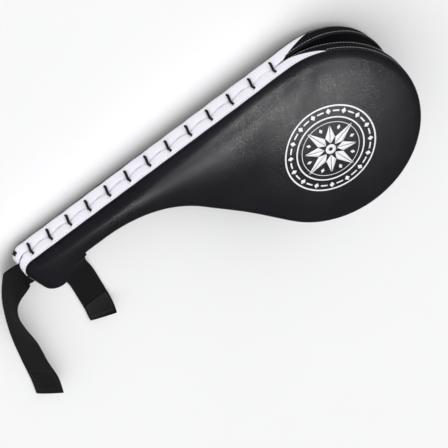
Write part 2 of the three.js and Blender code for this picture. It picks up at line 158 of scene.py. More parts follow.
def leaf_outline():
    turn = math.pi / 2 - FLANK_ANGLE
    grip_y = BLADE_RADIUS - GRIP_WIDTH
    flank = (-BLADE_RADIUS * math.cos(turn), -BLADE_RADIUS * math.sin(turn))
    corner_x = flank[0] - (grip_y - flank[1]) / math.tan(FLANK_ANGLE)
    throat_x = corner_x - THROAT_RADIUS * math.tan(FLANK_ANGLE / 2)
    corner = (BUTT_X + BUTT_CORNER, BLADE_RADIUS - BUTT_CORNER)
    run = (KNOB_CENTRE[0] - corner[0], KNOB_CENTRE[1] - corner[1])
    lean = math.asin((KNOB_RADIUS - BUTT_CORNER) / math.hypot(*run))
    butt_turn = math.atan2(run[1], run[0]) + 1.5 * math.pi - lean
    neck = (KNOB_CENTRE[0] + KNOB_RADIUS * math.cos(KNOB_TURN),
            KNOB_CENTRE[1] - KNOB_RADIUS * math.sin(KNOB_TURN))
    pull, reach = KNOB_NECK_PULL
    pieces = [
        [(0, BLADE_RADIUS)],
        arc(corner, BUTT_CORNER, math.pi / 2, butt_turn),
        arc(KNOB_CENTRE, KNOB_RADIUS, butt_turn, 2 * math.pi - KNOB_TURN),
        bezier(neck, (neck[0] + pull * math.sin(KNOB_TURN), neck[1] + pull * math.cos(KNOB_TURN)),
               (KNOB_NECK_X - reach, grip_y), (KNOB_NECK_X, grip_y)),
        arc((throat_x, grip_y - THROAT_RADIUS), THROAT_RADIUS, math.pi / 2, turn),
        arc((0, 0), BLADE_RADIUS, math.pi + turn, 2.5 * math.pi),
    ]
    return np.concatenate([np.array(piece) for piece in pieces])


def in_parts(points):
    """Runs of points that are few enough to compare with the whole outline at once."""
    return (points[first:first + 400] for first in range(0, len(points), 400))


class Outline:
    """The outline by its length, from the blade's top (0, BLADE_RADIUS) back along the lacing,
    round the butt, the grip's free edge and the blade. Lengths wrap round."""

    def __init__(self, points):
        apart = np.linalg.norm(np.diff(points, axis=0), axis=1) > 1e-7
        self.points = points[np.concatenate([[True], apart])]
        self.along = run_lengths(self.points)
        self.length = self.along[-1]

    def at(self, s):
        s = np.asarray(s) % self.length
        return np.column_stack([np.interp(s, self.along, self.points[:, k]) for k in (0, 1)])

    def normal(self, s):
        """The direction away from the leaf, softened a little round the corners."""
        ahead = self.at(np.asarray(s) + 0.0012) - self.at(np.asarray(s) - 0.0012)
        return unit(np.column_stack([ahead[:, 1], -ahead[:, 0]]))

    def distance(self, points):
        """How far each point is from the outline."""
        a, run = self.points[:-1], np.diff(self.points, axis=0)
        square = (run ** 2).sum(1)
        result = []
        for part in in_parts(points):
            part = part[:, None, :]
            t = np.clip(((part - a) * run).sum(2) / square, 0, 1)
            gap = part - a - t[:, :, None] * run
            result.append(np.sqrt((gap ** 2).sum(2).min(1)))
        return np.concatenate(result)

    def inside(self, points):
        """Whether each point is inside the outline."""
        a, b = self.points[:-1], self.points[1:]
        result = []
        for part in in_parts(points):
            x, y = part[:, :1], part[:, 1:]
            crosses = (a[:, 1] > y) != (b[:, 1] > y)
            with np.errstate(divide="ignore", invalid="ignore"):
                at_x = a[:, 0] + (y - a[:, 1]) * (b[:, 0] - a[:, 0]) / (b[:, 1] - a[:, 1])
            result.append((crosses & (x < at_x)).sum(1) % 2 == 1)
        return np.concatenate(result)

    def inset(self, margin, spacing):
        """The outline moved in by a margin, without the points where it would fold over."""
        s = np.arange(0, self.length, spacing)
        moved = self.at(s) - margin * self.normal(s)
        return moved if margin == 0 else moved[self.distance(moved) > margin - 0.00004]


OUTLINE = Outline(leaf_outline())
BUTT_END_S = -BUTT_X - BUTT_CORNER + BUTT_CORNER * math.pi / 2
WHITE_END_S = BUTT_END_S + BLADE_RADIUS - BUTT_CORNER - WHITE_END_Y
TAIL_ANGLE = math.asin(WHITE_TAIL_LENGTH / BLADE_RADIUS)
WHITE_TIP_S = -BLADE_RADIUS * TAIL_ANGLE

# ---- from leaf to floor

FLEX_ALONG = unit(FLEX_START - FLEX_END)
FLEX_ACROSS = np.array([FLEX_ALONG[1], -FLEX_ALONG[0]])
LIE = np.array(Euler((LIE_X, 0, 0)).to_matrix() @ Euler((0, LIE_Y, 0)).to_matrix())
FLEX_JOINT = next(joint for joint in frame["joints"] if joint["name"] == "front_flex")
ORIGIN = np.array(FLEX_JOINT["pos_m"]) - LIE @ np.array([*FLEX_START, 0])
FRONT, REAR = 1, -1
SIDE_NAMES = {FRONT: "front", REAR: "rear"}


def paddle_to_row(points):
    return np.asarray(points) @ LIE.T + ORIGIN


def leaf_to_row(points, side):
    """Points of a leaf, bent open at the throat and laid down."""
    points = np.asarray(points, float)
    flat = points[:, :2] - FLEX_START
    across, along = flat @ FLEX_ACROSS, flat @ FLEX_ALONG
    share = np.clip((across / FLEX_SPREAD + 1) / 2, 0, 1)
    angle = SPLAY * share ** 3 * (10 - 15 * share + 6 * share ** 2)
    new_across = across * np.cos(angle) - points[:, 2] * np.sin(angle)
    height = across * np.sin(angle) + points[:, 2] * np.cos(angle)
    flat = FLEX_START + along[:, None] * FLEX_ALONG + new_across[:, None] * FLEX_ACROSS
    return paddle_to_row(raised(flat, side * height))


# ---- meshes and objects

def make_object(name, vertices, faces, material, rest=None, uvs=None, wear_and_painted_edge_light=None):
    """A smooth mesh object. rest is each point's place on the flat leather, which carries the
    grain; uvs are (across, along) in metres for woven pieces; the last argument is how far each point's
    colour is shifted along edges, partly for rubbed wear and partly as painted edge light and shade."""
    mesh = bpy.data.meshes.new(name)
    mesh.from_pydata([tuple(v) for v in vertices], [], [tuple(f) for f in faces])
    mesh.update()
    mesh.polygons.foreach_set("use_smooth", [True] * len(mesh.polygons))
    attribute = mesh.attributes.new("rest", "FLOAT_VECTOR", "POINT")
    rest = np.asarray(vertices if rest is None else rest, dtype=np.float32)
    attribute.data.foreach_set("vector", rest.ravel())
    if wear_and_painted_edge_light is not None:
        attribute = mesh.attributes.new("wear_and_painted_edge_light", "FLOAT", "POINT")
        attribute.data.foreach_set("value", np.asarray(wear_and_painted_edge_light, dtype=np.float32))
    if uvs is not None:
        layer = mesh.uv_layers.new(name="weave")
        corners = np.empty(len(mesh.loops), dtype=np.int32)
        mesh.loops.foreach_get("vertex_index", corners)
        layer.data.foreach_set("uv", np.asarray(uvs, dtype=np.float32)[corners].ravel())
    mesh.materials.append(material)
    obj = bpy.data.objects.new(name, mesh)
    bpy.context.scene.collection.objects.link(obj)
    return obj


def apply_modifiers(obj):
    bpy.context.view_layer.update()
    graph = bpy.context.evaluated_depsgraph_get()
    final = bpy.data.meshes.new_from_object(obj.evaluated_get(graph))
    obj.modifiers.clear()
    old = obj.data
    obj.data = final
    bpy.data.meshes.remove(old)


def thicken(obj, thickness):
    """Gives a sheet its thickness, inwards from its outer face."""
    modifier = obj.modifiers.new("thickness", "SOLIDIFY")
    modifier.thickness = thickness
    modifier.offset = -1
    modifier.use_even_offset = False
    apply_modifiers(obj)


def flipped(faces):
    return [tuple(reversed(face)) for face in faces]


def outward(faces, side):
    """The rear leaf is a mirror image, so its faces run the other way round."""
    return faces if side == FRONT else flipped(faces)


def grid_faces(rows, columns, closed=False):
    """Faces of a grid of points stored row by row. closed joins each row's end to its start."""
    faces = []
    for i in range(rows - 1):
        for j in range(columns if closed else columns - 1):
            here, across = i * columns + j, i * columns + (j + 1) % columns
            faces.append((here, across, across + columns, here + columns))
    return faces


def closed_band(rows, columns):
    """Faces of a closed band or tube: a grid whose rows are rings, and both its ends."""
    count = rows * columns
    return [*flipped(grid_faces(rows, columns, closed=True)), tuple(range(columns)),
            tuple(reversed(range(count - columns, count)))]


def tube(path, radius, sides=8):
    """Vertices and faces of a closed tube along a path of points."""
    path = np.asarray(path, float)
    ahead = unit(np.gradient(path, axis=0))
    side = np.empty_like(path)
    first = np.cross(ahead[0], (0, 0, 1.0))
    if np.linalg.norm(first) < 0.1:
        first = np.cross(ahead[0], (0, 1.0, 0))
    side[0] = unit(first)
    for i in range(1, len(path)):
        side[i] = unit(side[i - 1] - ahead[i] * (side[i - 1] @ ahead[i]))
    up = np.cross(side, ahead)
    angle = np.linspace(0, 2 * math.pi, sides, endpoint=False)
    ring = np.cos(angle)[None, :, None] * side[:, None] + np.sin(angle)[None, :, None] * up[:, None]
    vertices = (path[:, None] + radius * ring).reshape(-1, 3)
    return vertices, closed_band(len(path), sides)


def joined(parts):
    """One list of vertices and faces from several."""
    faces, count = [], 0
    for vertices, part_faces in parts:
        faces.extend(tuple(index + count for index in face) for face in part_faces)
        count += len(vertices)
    return np.concatenate([vertices for vertices, _ in parts]), faces


# ---- materials

class Shader:
    """Adds nodes to a new material and links them. A value is a number, a colour or a socket.
    Patterns lie on the flat leather, or on the floor itself."""

    def __init__(self, name, on_floor=False):
        self.material = bpy.data.materials.new(name)
        self.material.use_nodes = True
        self.tree = self.material.node_tree
        self.surface = self.tree.nodes["Principled BSDF"]
        self.place = self.add("TexCoord").outputs["Object"] if on_floor else self.attribute("rest", "Vector")

    def plug(self, socket, value):
        if isinstance(value, bpy.types.NodeSocket):
            self.tree.links.new(value, socket)
        else:
            socket.default_value = (*value, 1.0) if isinstance(value, tuple) else value

    def plug_all(self, node, inputs):
        for key, value in inputs.items():
            self.plug(node.inputs[key.replace("_", " ")], value)
        return node

    def add(self, kind, **inputs):
        return self.plug_all(self.tree.nodes.new("ShaderNode" + kind), inputs)

    def finished(self, **inputs):
        """The material, with its surface's values set."""
        self.plug_all(self.surface, inputs)
        return self.material

    def math(self, operation, a, b=0.0, clamp=False):
        node = self.tree.nodes.new("ShaderNodeMath")
        node.operation = operation
        node.use_clamp = clamp
        for socket, value in zip(node.inputs, (a, b)):
            self.plug(socket, value)
        return node.outputs[0]

    def remap(self, value, low, high, to_low, to_high):
        return self.add("MapRange", Value=value, From_Min=low, From_Max=high, To_Min=to_low,
                        To_Max=to_high).outputs["Result"]

    def mix(self, share, a, b):
        node = self.tree.nodes.new("ShaderNodeMix")
        node.data_type = "RGBA"
        for index, value in zip((0, 6, 7), (share, a, b)):
            self.plug(node.inputs[index], value)
        return node.outputs[2]

    def attribute(self, name, output="Fac"):
        node = self.tree.nodes.new("ShaderNodeAttribute")
        node.attribute_name = name
        return node.outputs[output]

    def noise(self, scale, detail=3.0):
        node = self.add("TexNoise", Vector=self.place, Scale=scale, Detail=detail, Roughness=0.55)
        return node.outputs["Fac"]

    def voronoi(self, scale, feature="F1"):
        node = self.add("TexVoronoi", Vector=self.place, Scale=scale)
        node.feature = feature
        return node.outputs["Distance"]

    def bump(self, height, strength, distance, below=None):
        node = self.add("Bump", Height=height, Strength=strength, Distance=distance)
        if below is not None:
            self.plug(node.inputs["Normal"], below)
        return node.outputs["Normal"]


PORE_SCALE = 1150


def leather(name, dark, light, roughness, grain, shine=0.5, coat=0.0):
    """Embossed synthetic leather: small rounded cells between fine valleys. Its colour shifts along edges,
    partly for rubbed wear and partly as painted edge light and shade: lighter on the black leathers, darker
    on the white one.
    """
    shader = Shader(name)
    cells = shader.voronoi(PORE_SCALE, "SMOOTH_F1")
    valleys = shader.voronoi(620, "DISTANCE_TO_EDGE")
    cloud = shader.noise(26)
    patchy = shader.remap(shader.noise(240, 4.0), 0.35, 0.65, 0.2, 1.0)
    # Colour shift along edges from the mesh attribute: rubbed wear mixed with painted edge light and shade.
    rubbed_and_painted_edge_light = shader.math("MULTIPLY", shader.attribute("wear_and_painted_edge_light"), patchy)
    tone = shader.math("ADD", shader.math("MULTIPLY", cloud, 0.5), shader.math("MULTIPLY", rubbed_and_painted_edge_light, 0.6), True)
    rough = shader.math("ADD", shader.remap(cloud, 0.3, 0.7, roughness - 0.05, roughness + 0.05),
                        shader.remap(cells, 0.1, 0.6, -0.06, 0.08))
    broad = shader.bump(shader.remap(valleys, 0.0, 0.12, 0.0, 1.0), 0.6 * grain, 0.00006)
    pores = shader.bump(cells, 0.7 * grain, 0.00008, broad)
    return shader.finished(
        Base_Color=shader.mix(tone, dark, light), Roughness=rough, Coat_Weight=coat, Coat_Roughness=0.35,
        Specular_IOR_Level=shine, Normal=shader.bump(shader.noise(4200, 2.0), 0.3 * grain, 0.00001, pores))


def thread(name, colour, roughness=0.55):
    shader = Shader(name)
    fibre = shader.noise(3000)
    return shader.finished(
        Base_Color=shader.mix(fibre, tuple(c * 0.75 for c in colour), colour),
        Roughness=shader.remap(fibre, 0.3, 0.7, roughness - 0.08, roughness + 0.12),
        Normal=shader.bump(fibre, 0.6, 0.0001))


def webbing_material(name, dark, light):
    """Plain-woven narrow webbing: ribs of weft across it and warp ends along it."""
    shader = Shader(name)
    uv = shader.tree.nodes.new("ShaderNodeUVMap")
    uv.uv_map = "weave"
    split = shader.add("SeparateXYZ", Vector=uv.outputs["UV"])
    warp, weft = (shader.math("SINE", shader.math("MULTIPLY", split.outputs[axis], 2 * math.pi / pitch))
                  for axis, pitch in (("X", 0.0011), ("Y", 0.0019)))
    over = shader.math("MULTIPLY", shader.math("MULTIPLY", warp, weft), 0.5)
    weave = shader.bump(shader.math("ADD", over, shader.math("ABSOLUTE", warp)), 0.7, 0.00018)
    fuzz = shader.noise(1800, 4.0)
    share = shader.math("ADD", shader.math("MULTIPLY", fuzz, 0.55),
                        shader.math("MULTIPLY", shader.noise(45), 0.35), True)
    return shader.finished(
        Base_Color=shader.mix(share, dark, light), Roughness=shader.remap(fuzz, 0.2, 0.8, 0.68, 0.9),
        Sheen_Weight=0.03, Sheen_Roughness=0.5, Specular_IOR_Level=0.2,
        Normal=shader.bump(fuzz, 0.5, 0.00012, weave))


def patch_material(name, dark, light, scale):
    """Hook or loop tape: a short pile."""
    shader = Shader(name)
    fuzz = shader.noise(2600, 4.0)
    pile = shader.bump(shader.voronoi(scale), 1.0, 0.0005)
    return shader.finished(
        Base_Color=shader.mix(fuzz, dark, light), Roughness=0.92, Sheen_Weight=0.06, Sheen_Roughness=0.6,
        Specular_IOR_Level=0.2, Normal=shader.bump(fuzz, 0.8, 0.0003, pile))


def print_material(name):
    """White screen ink, with the leather's grain showing through and a few fine cracks."""
    shader = Shader(name)
    cells = shader.voronoi(PORE_SCALE, "SMOOTH_F1")
    cracks = shader.remap(shader.voronoi(420, "DISTANCE_TO_EDGE"), 0.0, 0.035, 1.0, 0.0)
    worn = shader.math("MULTIPLY", cracks, shader.remap(shader.noise(90), 0.5, 0.68, 0.0, 0.8), True)
    return shader.finished(
        Base_Color=shader.mix(worn, (0.80, 0.80, 0.82), (0.30, 0.30, 0.31)),
        Roughness=shader.remap(cells, 0.1, 0.6, 0.42, 0.58), Normal=shader.bump(cells, 0.45, 0.00015))


def floor_material(name):
    shader = Shader(name, on_floor=True)
    colour = shader.mix(shader.noise(3.0), (0.84, 0.84, 0.845), (0.87, 0.87, 0.87))
    return shader.finished(Base_Color=colour, Roughness=0.75)


BLACK_LEATHER = leather("black_leather", (0.0028, 0.0024, 0.0044), (0.010, 0.009, 0.013),
                        0.31, 1.0, 0.40)
BAND_LEATHER = leather("black_band_leather", (0.0045, 0.0045, 0.0055), (0.014, 0.014, 0.016),
                       0.38, 0.8, 0.32)
LINING_LEATHER = leather("black_lining_leather", (0.0035, 0.0035, 0.0045), (0.009, 0.009, 0.010),
                         0.46, 0.9, 0.25)
WHITE_LEATHER = leather("white_leather", (0.80, 0.785, 0.85), (0.70, 0.69, 0.75), 0.42, 0.45)
SEAM_THREAD = thread("seam_thread", (0.42, 0.42, 0.44))
WHITE_THREAD = thread("white_seam_thread", (0.62, 0.61, 0.66))
LACE = thread("waxed_lace", (0.012, 0.012, 0.014), 0.45)
DARK_THREAD = thread("dark_thread", (0.03, 0.03, 0.033))
WEBBING_CLOTH = webbing_material("webbing", (0.003, 0.003, 0.0035), (0.010, 0.010, 0.011))
HOOK_TAPE = patch_material("hook_tape", (0.008, 0.008, 0.009), (0.022, 0.022, 0.024), 620)
LOOP_TAPE = patch_material("loop_tape", (0.004, 0.004, 0.0045), (0.016, 0.016, 0.017), 900)
PRINT_INK = print_material("print_ink")

# ---- covers and linings

RIM_STEP = 0.0016
RING_COUNT = 12
GRID_STEP = 0.003
MAP_STEP = 0.0015
PAD_ROUNDS = 26
SWELL_ROUNDS = 14
GRIP_FILL = 0.0035
GRIP_FILL_X = -0.2
GRIP_FILL_LENGTH = 0.09
SWELLING_X = -0.225
SWELLING_LENGTH = 0.165
CLOTH_STEP = 0.0045
CLOTH_RINGS = (0, 0.004, 0.0085)
CLOTH_FRAMES = 20
CLOTH_SETTINGS = {
    "quality": 6, "mass": 0.25, "tension_stiffness": 12, "compression_stiffness": 12,
    "shear_stiffness": 6, "bending_stiffness": 0.8, "use_pressure": True,
    "uniform_pressure_force": 4, "vertex_group_mass": "seam",
}
SWELL_LIMIT = 0.003
SEAM_CRISP, SEAM_SOFTENS = 0.002, 0.009
UNEVENNESS = ((0.00022, 22, 3.1), (0.00003, 90, 8.4))


def leaf_net(rim_step, ring_depths, grid_step):
    """A net of triangles over the leaf: rings that follow its edge, and an even grid inside.
    Returns the flat points, each one's distance from the edge, and the triangles."""
    rim = OUTLINE.inset(0, rim_step)
    points = [rim]
    for before, depth in zip(ring_depths, ring_depths[1:]):
        points.append(OUTLINE.inset(depth, max(rim_step, 0.8 * (depth - before))))
    xs, ys = (np.arange(low, high, step) for low, high, step in
              zip(OUTLINE.points.min(0), OUTLINE.points.max(0), (grid_step, grid_step * math.sqrt(0.75))))
    grid = np.array([(x + (j % 2) * grid_step / 2, y) for j, y in enumerate(ys) for x in xs])
    grid = grid[OUTLINE.inside(grid)]
    points.append(grid[OUTLINE.distance(grid) > ring_depths[-1] + 0.6 * grid_step])
    flat = [Vector(p) for p in np.concatenate(points)]
    made, _, faces, *_ = delaunay_2d_cdt(flat, [], [list(range(len(rim)))], 1, 1e-6)
    made = np.array(made)
    return made, OUTLINE.distance(made), [tuple(face) for face in faces]


RING_DEPTHS = CROWN_REACH * (np.arange(RING_COUNT + 1) / RING_COUNT) ** 1.6
NET, NET_DEPTH, NET_FACES = leaf_net(RIM_STEP, RING_DEPTHS, GRID_STEP)


def rumple(points, scale, seed):
    """Slow unevenness, from -1 to 1, at each flat point."""
    return np.array([noise.noise((x * scale, y * scale, seed)) for x, y in points[:, :2]])


def pad_rise(x, depth):
    """How far the padding stands above the seam, by the distance from the leaf's edge."""
    edge = np.clip(depth / EDGE_REACH, 0, 1)
    growth = np.clip((x - SWELLING_X) / SWELLING_LENGTH, 0, 1) ** 3
    reach = GRIP_WIDTH / 2 + (DOME_REACH - GRIP_WIDTH / 2) * growth
    dome = np.clip(depth / reach, 0, 1)
    height = (CROWN - EDGE_RISE) * (1 - (1 - reach / DOME_REACH) ** 2)
    height = height + GRIP_FILL * hump(x, GRIP_FILL_X, GRIP_FILL_LENGTH)
    return EDGE_RISE * np.sqrt(1 - (1 - edge) ** 2) + height * (1 - (1 - dome) ** 2)


class EvenMap:
    """Values over a leaf, known at the points of an even grid and evened out there."""

    low = OUTLINE.points.min(0) - 3 * MAP_STEP
    high = OUTLINE.points.max(0) + 3 * MAP_STEP
    xs = np.arange(low[0], high[0], MAP_STEP)
    ys = np.arange(low[1], high[1], MAP_STEP)
    points = np.column_stack([np.tile(xs, len(ys)), np.repeat(ys, len(xs))])
    inside = OUTLINE.inside(points)
    shape = (len(ys), len(xs))

    def __init__(self, values, rounds):
        """values belong to the grid points that are inside the leaf."""
        whole = np.zeros((len(self.points), 1 if values.ndim == 1 else values.shape[1]))
        whole[self.inside] = values.reshape(len(values), -1)
        grid = whole.reshape(*self.shape, -1)
        share = self.inside.astype(float).reshape(*self.shape, 1)
        for _ in range(rounds):
            grid, share = self.evened(grid), self.evened(share)
        self.grid = grid / np.maximum(share, 1e-9)

    @staticmethod
    def evened(values):
        for axis in (0, 1):
            values = 0.5 * values + 0.25 * (np.roll(values, 1, axis) + np.roll(values, -1, axis))
        return values

    def at(self, points):
        place = (points[:, :2] - (self.xs[0], self.ys[0])) / MAP_STEP
        cell = place.astype(int)
        u, v = (place - cell).T[:, :, None]
        i, j = cell.T
        near = self.grid[j, i] * (1 - u) + self.grid[j, i + 1] * u
        far = self.grid[j + 1, i] * (1 - u) + self.grid[j + 1, i + 1] * u
        return near * (1 - v) + far * v


INSIDE = EvenMap.points[EvenMap.inside]
PAD_MAP = EvenMap(pad_rise(INSIDE[:, 0], OUTLINE.distance(INSIDE)), PAD_ROUNDS)


def pad_height(points, depth):
    """The height of the padding's surface, crisp at the seam and soft inside it."""
    inner = smooth_step((depth - SEAM_CRISP) / SEAM_SOFTENS)
    rise = (1 - inner) * pad_rise(points[:, 0], depth) + inner * PAD_MAP.at(points)[:, 0]
    return SEAM_HEIGHT + rise


def swell_moves():
    """Lets the leather stretch over its padding as cloth, sewn down all round its edge and
    pressed out by the foam. Returns the sheet's flat mesh and how far each of its points moves."""
    flat, depth, faces = leaf_net(CLOTH_STEP, CLOTH_RINGS, CLOTH_STEP)
    start = raised(flat, pad_height(flat, depth))
    sheet = make_object("cloth_sheet", start, faces, BLACK_LEATHER)
    pins = sheet.vertex_groups.new(name="seam")
    pins.add([int(i) for i in np.flatnonzero(depth < 0.0005)], 1.0, "REPLACE")
    bpy.context.view_layer.objects.active = sheet
    modifier = sheet.modifiers.new("swell", "CLOTH")
    for key, value in CLOTH_SETTINGS.items():
        setattr(modifier.settings, key, value)
    modifier.settings.effector_weights.gravity = 0
    scene = bpy.context.scene
    modifier.point_cache.frame_start, modifier.point_cache.frame_end = 1, CLOTH_FRAMES
    for step in range(1, CLOTH_FRAMES + 1):
        scene.frame_set(step)
    apply_modifiers(sheet)
    scene.frame_set(1)
    end = np.empty(3 * len(flat), dtype=np.float32)
    sheet.data.vertices.foreach_get("co", end)
    moves = end.reshape(-1, 3) - start
    bpy.data.objects.remove(sheet)
    size = np.linalg.norm(moves, axis=1, keepdims=True)
    limit = SWELL_LIMIT * smooth_step(depth / 0.02)[:, None] + 1e-6
    moves = moves * limit * np.tanh(size / limit) / np.maximum(size, 1e-9)
    return flat, faces, moves


def carried(points, flat, faces, moves):
    """The moves of a coarse sheet, read off at other points of the leaf."""
    ground = [Vector((x, y, 0)) for x, y in flat]
    tree = BVHTree.FromPolygons(ground, faces)
    result = []
    for x, y in points:
        place, _, index, _ = tree.find_nearest(Vector((x, y, 0)))
        a, b, c = (ground[corner] for corner in faces[index])
        whole = (b - a).cross(c - a).z
        u = (b - place).cross(c - place).z / whole
        v = (c - place).cross(a - place).z / whole
        result.append(np.array([u, v, 1 - u - v]) @ moves[list(faces[index])])
    return np.array(result)


SWELL_MAP = EvenMap(carried(INSIDE, *swell_moves()), SWELL_ROUNDS)
NET_SWELL = SWELL_MAP.at(NET) * smooth_step(NET_DEPTH / 0.006)[:, None]


def cover_points(side):
    """The outer face of a leaf's cover: the padding, the leather's swell and slow unevenness."""
    inner = smooth_step((NET_DEPTH - 0.003) / 0.012)
    soft = sum(size * rumple(NET, scale, seed * side) for size, scale, seed in UNEVENNESS)
    return raised(NET, pad_height(NET, NET_DEPTH) + soft * inner) + NET_SWELL


def rim_order(faces):
    """The net's edge points in order round the outline."""
    seen = {(face[k], face[(k + 1) % 3]) for face in faces for k in range(3)}
    following = {a: b for a, b in seen if (b, a) not in seen}
    order = [min(following)]
    while following[order[-1]] != order[0]:
        order.append(following[order[-1]])
    return order


RIM_ORDER = rim_order(NET_FACES)
LIP_INSET = 0.0011
LIP_DROP = 0.0009


def with_lip(points, faces, height_step):
    """Adds a strip round the edge that turns in towards the seam."""
    rim = points[RIM_ORDER]
    ahead = np.roll(rim[:, :2], -1, axis=0) - np.roll(rim[:, :2], 1, axis=0)
    inwards = unit(np.column_stack([-ahead[:, 1], ahead[:, 0]]))
    lip = raised(rim[:, :2] + LIP_INSET * inwards, rim[:, 2] + height_step)
    count, size = len(points), len(RIM_ORDER)
    strip = [(RIM_ORDER[(k + 1) % size], RIM_ORDER[k], count + k, count + (k + 1) % size)
             for k in range(size)]
    return np.concatenate([points, lip]), faces + strip


def edge_wear_and_painted_light(rim, width, lip):
    """How far the colour shifts along the leaf's edge and on its lip: rubbed wear and a painted edge
    highlight.
    """
    return np.concatenate([rim * np.exp(-NET_DEPTH / width), np.full(len(RIM_ORDER), lip)])


def make_skin(name, side, points, faces, material, rest, wear_and_painted_edge_light):
    """A skin of a leaf, from points in leaf coordinates, which is thickened inwards."""
    skin = make_object(f"{SIDE_NAMES[side]}_{name}", leaf_to_row(points, side), faces, material, rest,
                       wear_and_painted_edge_light=wear_and_painted_edge_light)
    thicken(skin, SKIN)
    return skin


def make_cover(side):
    points, faces = with_lip(cover_points(side), NET_FACES, -LIP_DROP)
    # Lighter along the edge and lip: rubbed wear and a painted edge highlight.
    return make_skin("cover", side, points, outward(faces, side), BLACK_LEATHER, points,
                     edge_wear_and_painted_light(0.8, 0.0025, 0.3))


def make_lining(side):
    """The leaf's inner face, which slaps against the other leaf's."""
    inner = 1 - np.exp(-NET_DEPTH / 0.004)
    height = HALF_GAP + 0.0002 + 0.0005 * inner + 0.0003 * inner * rumple(NET, 40, 20.5)
    points, faces = with_lip(raised(NET, height), NET_FACES, LIP_DROP)
    # Lighter along the edge and lip: rubbed wear and a painted edge highlight.
    return make_skin("lining", side, points, outward(faces, -side), LINING_LEATHER, points,
                     edge_wear_and_painted_light(0.5, 0.003, 0.2))


# ---- side bands

STITCH_X = [FIRST_STITCH_X + FIRST_STITCH_PITCH * i + STITCH_SPREAD * i * i
            for i in range(STITCH_COUNT)]
LACED_START, LACED_START_RUN = 0.004, 0.010
LACED_END, LACED_END_RUN = 0.296, 0.006
LACED_TIP_X = 0.008
WALL_BULGE = 0.0014
WALL_TUCK = 0.0004
CREASE_DEPTH = 0.0015
CREASE_WIDTH = 0.0011
PUFF = 0.0004
HOLE_DEPTH, HOLE_WIDTH = 0.0009, 0.0011
PRESS_DEPTH, PRESS_WIDTH = 0.0005, 0.0017
STITCH_ZONE = 0.006
MEETING_GAP = 0.00025
MEETING_LEVEL = -0.0010
PULL_AFTER, PULL_BEFORE = 0.0021, 0.0013


def laced_share(s):
    """1 along the lacing and 0 on the blade and round the butt."""
    started = smooth_step((s - LACED_START) / LACED_START_RUN)
    return started * (1 - smooth_step((s - LACED_END) / LACED_END_RUN))


def stitch_phase(s):
    """For each length along the lacing, the stitch before it and the share of the way to the next."""
    x = -np.asarray(s)
    index = np.clip(np.searchsorted(STITCH_X, x, side="right") - 1, -1, STITCH_COUNT - 1)
    places = np.array([BUTT_X, *STITCH_X, LACED_TIP_X])
    start, end = places[index + 1], places[index + 2]
    return index, np.clip((x - start) / (end - start), 0, 1)


def meeting_line(s):
    """Where the two white bands meet, towards the front leaf: pulled forward at each stitch."""
    index, phase = stitch_phase(s)
    after = np.where(index < 0, 0.0, 1 - smooth_step(phase / 0.5))
    before = np.where(index == STITCH_COUNT - 1, 0.0, smooth_step((phase - 0.62) / 0.38))
    return PULL_AFTER * after + PULL_BEFORE * before + MEETING_LEVEL


def wall_offset(s, z, side):
    """How far the side wall stands out from the outline, at a height in leaf coordinates."""
    share = np.clip((z - HALF_GAP) / (SEAM_HEIGHT - HALF_GAP), 0, 1)
    offset = (WALL_BULGE + WALL_TUCK) * np.sqrt(np.clip(1 - (2 * share - 1) ** 4, 0, 1)) - WALL_TUCK
    laced = laced_share(s)
    if not np.any(laced > 0):
        return offset
    closed = WALL_BULGE * (1 - 0.5 * smooth_step((share - 0.72) / 0.28))
    crease = np.exp(-np.abs(z - side * meeting_line(s)) / CREASE_WIDTH)
    _, phase = stitch_phase(s)
    closed = closed + PUFF * np.sin(math.pi * phase) - (CREASE_DEPTH + WALL_BULGE) * crease
    paddle_z = side * z
    for x0 in STITCH_X:
        near = np.abs(-s - x0) < STITCH_ZONE
        lean = -s[near] - x0 + STITCH_SLANT * paddle_z[near] / STITCH_REACH
        to_end = STITCH_REACH - np.abs(paddle_z[near])
        hole = np.exp(-(lean ** 2 + to_end ** 2) / HOLE_WIDTH ** 2)
        pressed = np.exp(-(lean / PRESS_WIDTH) ** 2) * smooth_step((to_end + 0.002) / 0.003)
        closed[near] -= HOLE_DEPTH * hole + PRESS_DEPTH * pressed
    return (1 - laced) * offset + laced * closed


def wall_points(s, z, side, extra=0.0):
    """Points on the outside of a leaf's side wall, in leaf coordinates."""
    offset = wall_offset(s, z, side) + extra
    return raised(OUTLINE.at(s) + offset[:, None] * OUTLINE.normal(s), z)


def tail_edge(s):
    """The height on the side wall below which it is black, along the white tail."""
    x = BLADE_RADIUS * np.sin(np.clip(-s, 0, None) / BLADE_RADIUS)
    return HALF_GAP + (SEAM_HEIGHT - HALF_GAP) * np.clip(x / WHITE_TAIL_LENGTH, 0, 1)


BAND_TOP = SEAM_HEIGHT - 0.0005


